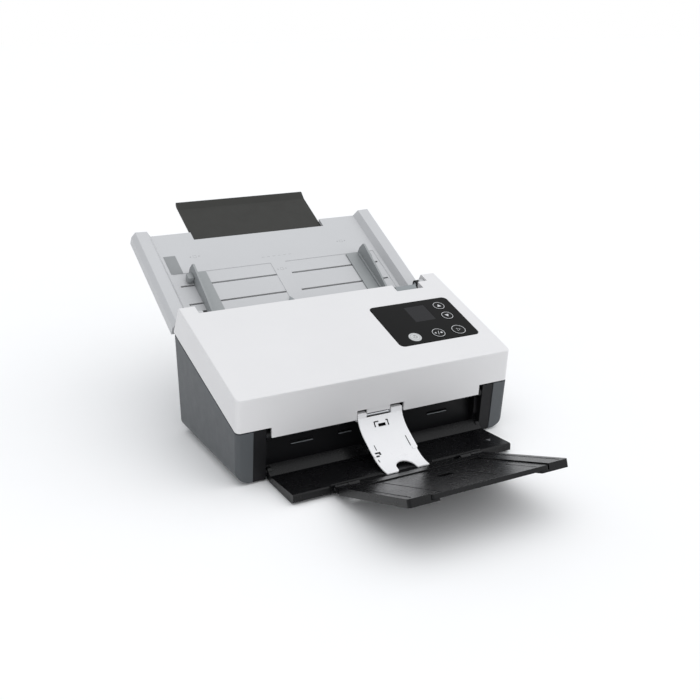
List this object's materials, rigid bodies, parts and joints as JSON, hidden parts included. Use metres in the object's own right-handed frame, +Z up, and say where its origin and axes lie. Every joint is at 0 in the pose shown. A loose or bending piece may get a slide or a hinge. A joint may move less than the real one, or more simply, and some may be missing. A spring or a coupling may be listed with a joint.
{
  "type": "sheet-fed document scanner",
  "caption": "Desktop sheet-fed document scanner with a folding input tray, sliding paper guides, opening cover, roller feed, keys and a fold-out output tray.",
  "frame": {"origin": "on the table, under the middle of the object with both trays open", "axes": "+X to the user's right, +Y to the back, +Z up"},
  "size_m": [0.316, 0.5478, 0.2149],
  "materials": {
    "white_shell": "smooth satin moulding",
    "charcoal": "fine-textured moulding",
    "black_frame": "fine-textured moulding",
    "gloss_black": "polished",
    "display": "polished window",
    "key_black": "polished",
    "key_grey": "satin",
    "lever_grey": "fine-textured moulding",
    "tray_grey": "fine-textured moulding",
    "guide_grey": "fine-textured moulding",
    "extension_dark": "fine-textured moulding",
    "output_black": "satin black moulding",
    "flap_white": "satin moulding",
    "rubber": "matt rubber",
    "grey_rubber": "ground rubber",
    "steel": "drawn bar",
    "gear_nylon": "natural nylon",
    "board_green": "coated circuit board",
    "sensor_body": "moulded",
    "clear_glass": "float glass",
    "motor_can": "plated steel"
  },
  "bodies": {
    "base": {"base_pan": "charcoal", "side_panel_left": "charcoal", "side_panel_right": "charcoal", "front_frame": "black_frame", "rear_panel": "charcoal", "chassis_left": "black_frame", "chassis_right": "black_frame", "lower_paper_guide": "black_frame", "input_chute": "tray_grey", "lower_sensor_bar": "sensor_body", "lower_sensor_glass": "clear_glass", "main_board": "board_green", "power_jack": "black_frame", "data_socket": "steel", "rubber_feet": "rubber", "case_screws": "steel", "front_hinge_shaft": "steel", "tray_hinge_pins": "steel", "feed_motor": "motor_can"},
    "motor_rotor": {"motor_pinion": "gear_nylon"},
    "feed_roller": {"feed_shaft": "steel", "feed_tyres": "rubber", "feed_gear": "gear_nylon"},
    "exit_roller": {"exit_shaft": "steel", "exit_tyres": "rubber", "exit_gear": "gear_nylon"},
    "pick_roller": {"pick_shaft": "steel", "pick_tyres": "rubber", "pick_gear": "gear_nylon"},
    "exit_idler": {"exit_idler": "gear_nylon"},
    "pick_idler": {"pick_idler": "gear_nylon"},
    "cover": {"cover_shell": "white_shell", "cover_frame": "black_frame", "upper_sensor_bar": "sensor_body", "upper_sensor_glass": "clear_glass", "control_panel": "gloss_black", "display_window": "display", "key_board": "board_green"},
    "key_up": {"key_up": "key_black"},
    "key_down": {"key_down": "key_black"},
    "key_scan": {"key_scan": "key_black"},
    "key_stop": {"key_stop": "key_black"},
    "key_power": {"key_power": "key_grey"},
    "latch": {"release_lever": "lever_grey", "latch_bar": "steel"},
    "feed_pinch": {"feed_pinch_roller": "gear_nylon"},
    "exit_pinch": {"exit_pinch_roller": "gear_nylon"},
    "separation": {"separation_roller": "grey_rubber"},
    "input_tray": {"input_tray": "tray_grey", "tray_underside": "tray_grey"},
    "tray_extension": {"tray_extension": "extension_dark"},
    "guide_left": {"guide_left": "guide_grey"},
    "guide_right": {"guide_right": "guide_grey"},
    "guide_pinion": {"guide_pinion": "gear_nylon"},
    "output_tray": {"output_tray": "output_black", "output_hinge_pins": "steel"},
    "output_extension": {"output_extension": "output_black"},
    "output_leaf": {"output_leaf": "output_black"},
    "paper_stopper": {"paper_stopper": "output_black"},
    "exit_flap": {"exit_flap": "flap_white"}
  },
  "joints": [
    {"name": "feed_roller_spin", "type": "hinge", "parent": "base", "child": "feed_roller", "pos_m": [0, 0.00147, 0.05925], "axis": [1, 0, 0], "continuous": true},
    {"name": "motor_spin", "type": "hinge", "parent": "base", "child": "motor_rotor", "pos_m": [0, 0.0046, 0.04152], "axis": [1, 0, 0], "continuous": true},
    {"name": "exit_idler_spin", "type": "hinge", "parent": "base", "child": "exit_idler", "pos_m": [0, -0.02296, 0.04362], "axis": [1, 0, 0], "continuous": true},
    {"name": "exit_roller_spin", "type": "hinge", "parent": "base", "child": "exit_roller", "pos_m": [0, -0.05196, 0.04409], "axis": [1, 0, 0], "continuous": true},
    {"name": "pick_idler_spin", "type": "hinge", "parent": "base", "child": "pick_idler", "pos_m": [0, 0.02144, 0.05276], "axis": [1, 0, 0], "continuous": true},
    {"name": "pick_roller_spin", "type": "hinge", "parent": "base", "child": "pick_roller", "pos_m": [0, 0.03391, 0.06966], "axis": [1, 0, 0], "continuous": true},
    {"name": "cover_hinge", "type": "hinge", "parent": "base", "child": "cover", "pos_m": [0, -0.0777, 0.048], "axis": [1, 0, 0], "range_deg": [0, 45]},
    {"name": "feed_pinch_spin", "type": "hinge", "parent": "cover", "child": "feed_pinch", "pos_m": [0, -0.00289, 0.07276], "axis": [1, 0, 0], "continuous": true},
    {"name": "exit_pinch_spin", "type": "hinge", "parent": "cover", "child": "exit_pinch", "pos_m": [0, -0.05571, 0.0557], "axis": [1, 0, 0], "continuous": true},
    {"name": "separation_spin", "type": "hinge", "parent": "cover", "child": "separation", "pos_m": [0, 0.02315, 0.08908], "axis": [1, 0, 0], "continuous": true},
    {"name": "release_lever_press", "type": "hinge", "parent": "cover", "child": "latch", "pos_m": [0, 0.0316, 0.122], "axis": [-1, 0, 0], "range_deg": [0, 10], "stiffness_Nm_per_rad": 0.3, "springref_deg": -20.05},
    {"name": "exit_flap_swing", "type": "hinge", "parent": "base", "child": "exit_flap", "pos_m": [0, -0.0777, 0.048], "axis": [1, 0, 0], "range_deg": [-50, 0]},
    {"name": "input_tray_fold", "type": "hinge", "parent": "base", "child": "input_tray", "pos_m": [0, 0.0611, 0.134], "axis": [-1, 0, 0], "range_deg": [-168, 0]},
    {"name": "tray_extension_slide", "type": "slide", "parent": "input_tray", "child": "tray_extension", "axis": [0, 0.8746, 0.4848], "range_m": [-0.05, 0.02]},
    {"name": "guide_left_slide", "type": "slide", "parent": "input_tray", "child": "guide_left", "axis": [1, 0, 0], "range_m": [-0.012, 0.06]},
    {"name": "guide_right_slide", "type": "slide", "parent": "input_tray", "child": "guide_right", "axis": [1, 0, 0], "range_m": [-0.06, 0.012]},
    {"name": "guide_pinion_spin", "type": "hinge", "parent": "input_tray", "child": "guide_pinion", "pos_m": [0, 0.13562, 0.1345], "axis": [0, -0.4848, 0.8746], "range_deg": [-345, 70]},
    {"name": "output_tray_pull", "type": "slide", "parent": "base", "child": "output_tray", "axis": [0, -1, 0], "range_m": [0, 0.03]},
    {"name": "output_extension_fold", "type": "hinge", "parent": "output_tray", "child": "output_extension", "pos_m": [0, -0.1424, 0.0095], "axis": [-1, 0, 0], "range_deg": [0, 75]},
    {"name": "output_leaf_slide", "type": "slide", "parent": "output_extension", "child": "output_leaf", "axis": [0, -0.9438, 0.3305], "range_m": [0, 0.06]},
    {"name": "paper_stopper_flip", "type": "hinge", "parent": "output_leaf", "child": "paper_stopper", "pos_m": [0, -0.25628, 0.04949], "axis": [-1, 0, 0], "range_deg": [-85, 0]},
    {"name": "key_up_press", "type": "slide", "parent": "cover", "child": "key_up", "axis": [0, -0.3157, 0.9489], "range_m": [-0.0008, 0], "stiffness_N_per_m": 500, "springref_m": 0.0006},
    {"name": "key_down_press", "type": "slide", "parent": "cover", "child": "key_down", "axis": [0, -0.3157, 0.9489], "range_m": [-0.0008, 0], "stiffness_N_per_m": 500, "springref_m": 0.0006},
    {"name": "key_scan_press", "type": "slide", "parent": "cover", "child": "key_scan", "axis": [0, -0.3157, 0.9489], "range_m": [-0.0008, 0], "stiffness_N_per_m": 500, "springref_m": 0.0006},
    {"name": "key_stop_press", "type": "slide", "parent": "cover", "child": "key_stop", "axis": [0, -0.3157, 0.9489], "range_m": [-0.0008, 0], "stiffness_N_per_m": 500, "springref_m": 0.0006},
    {"name": "key_power_press", "type": "slide", "parent": "cover", "child": "key_power", "axis": [0, -0.3157, 0.9489], "range_m": [-0.0008, 0], "stiffness_N_per_m": 500, "springref_m": 0.0006}
  ],
  "couplings": [
    {"joint": "motor_spin", "follows": "feed_roller_spin", "ratio": -2},
    {"joint": "exit_idler_spin", "follows": "feed_roller_spin", "ratio": -0.70588},
    {"joint": "exit_roller_spin", "follows": "feed_roller_spin", "ratio": 1},
    {"joint": "pick_idler_spin", "follows": "feed_roller_spin", "ratio": -1.3333},
    {"joint": "pick_roller_spin", "follows": "feed_roller_spin", "ratio": 1},
    {"joint": "feed_pinch_spin", "follows": "feed_roller_spin", "ratio": -1.8},
    {"joint": "exit_pinch_spin", "follows": "feed_roller_spin", "ratio": -1.4},
    {"joint": "guide_right_slide", "follows": "guide_left_slide", "ratio": -1},
    {"joint": "guide_pinion_spin", "follows": "guide_left_slide", "rad_per_m": -100}
  ]
}
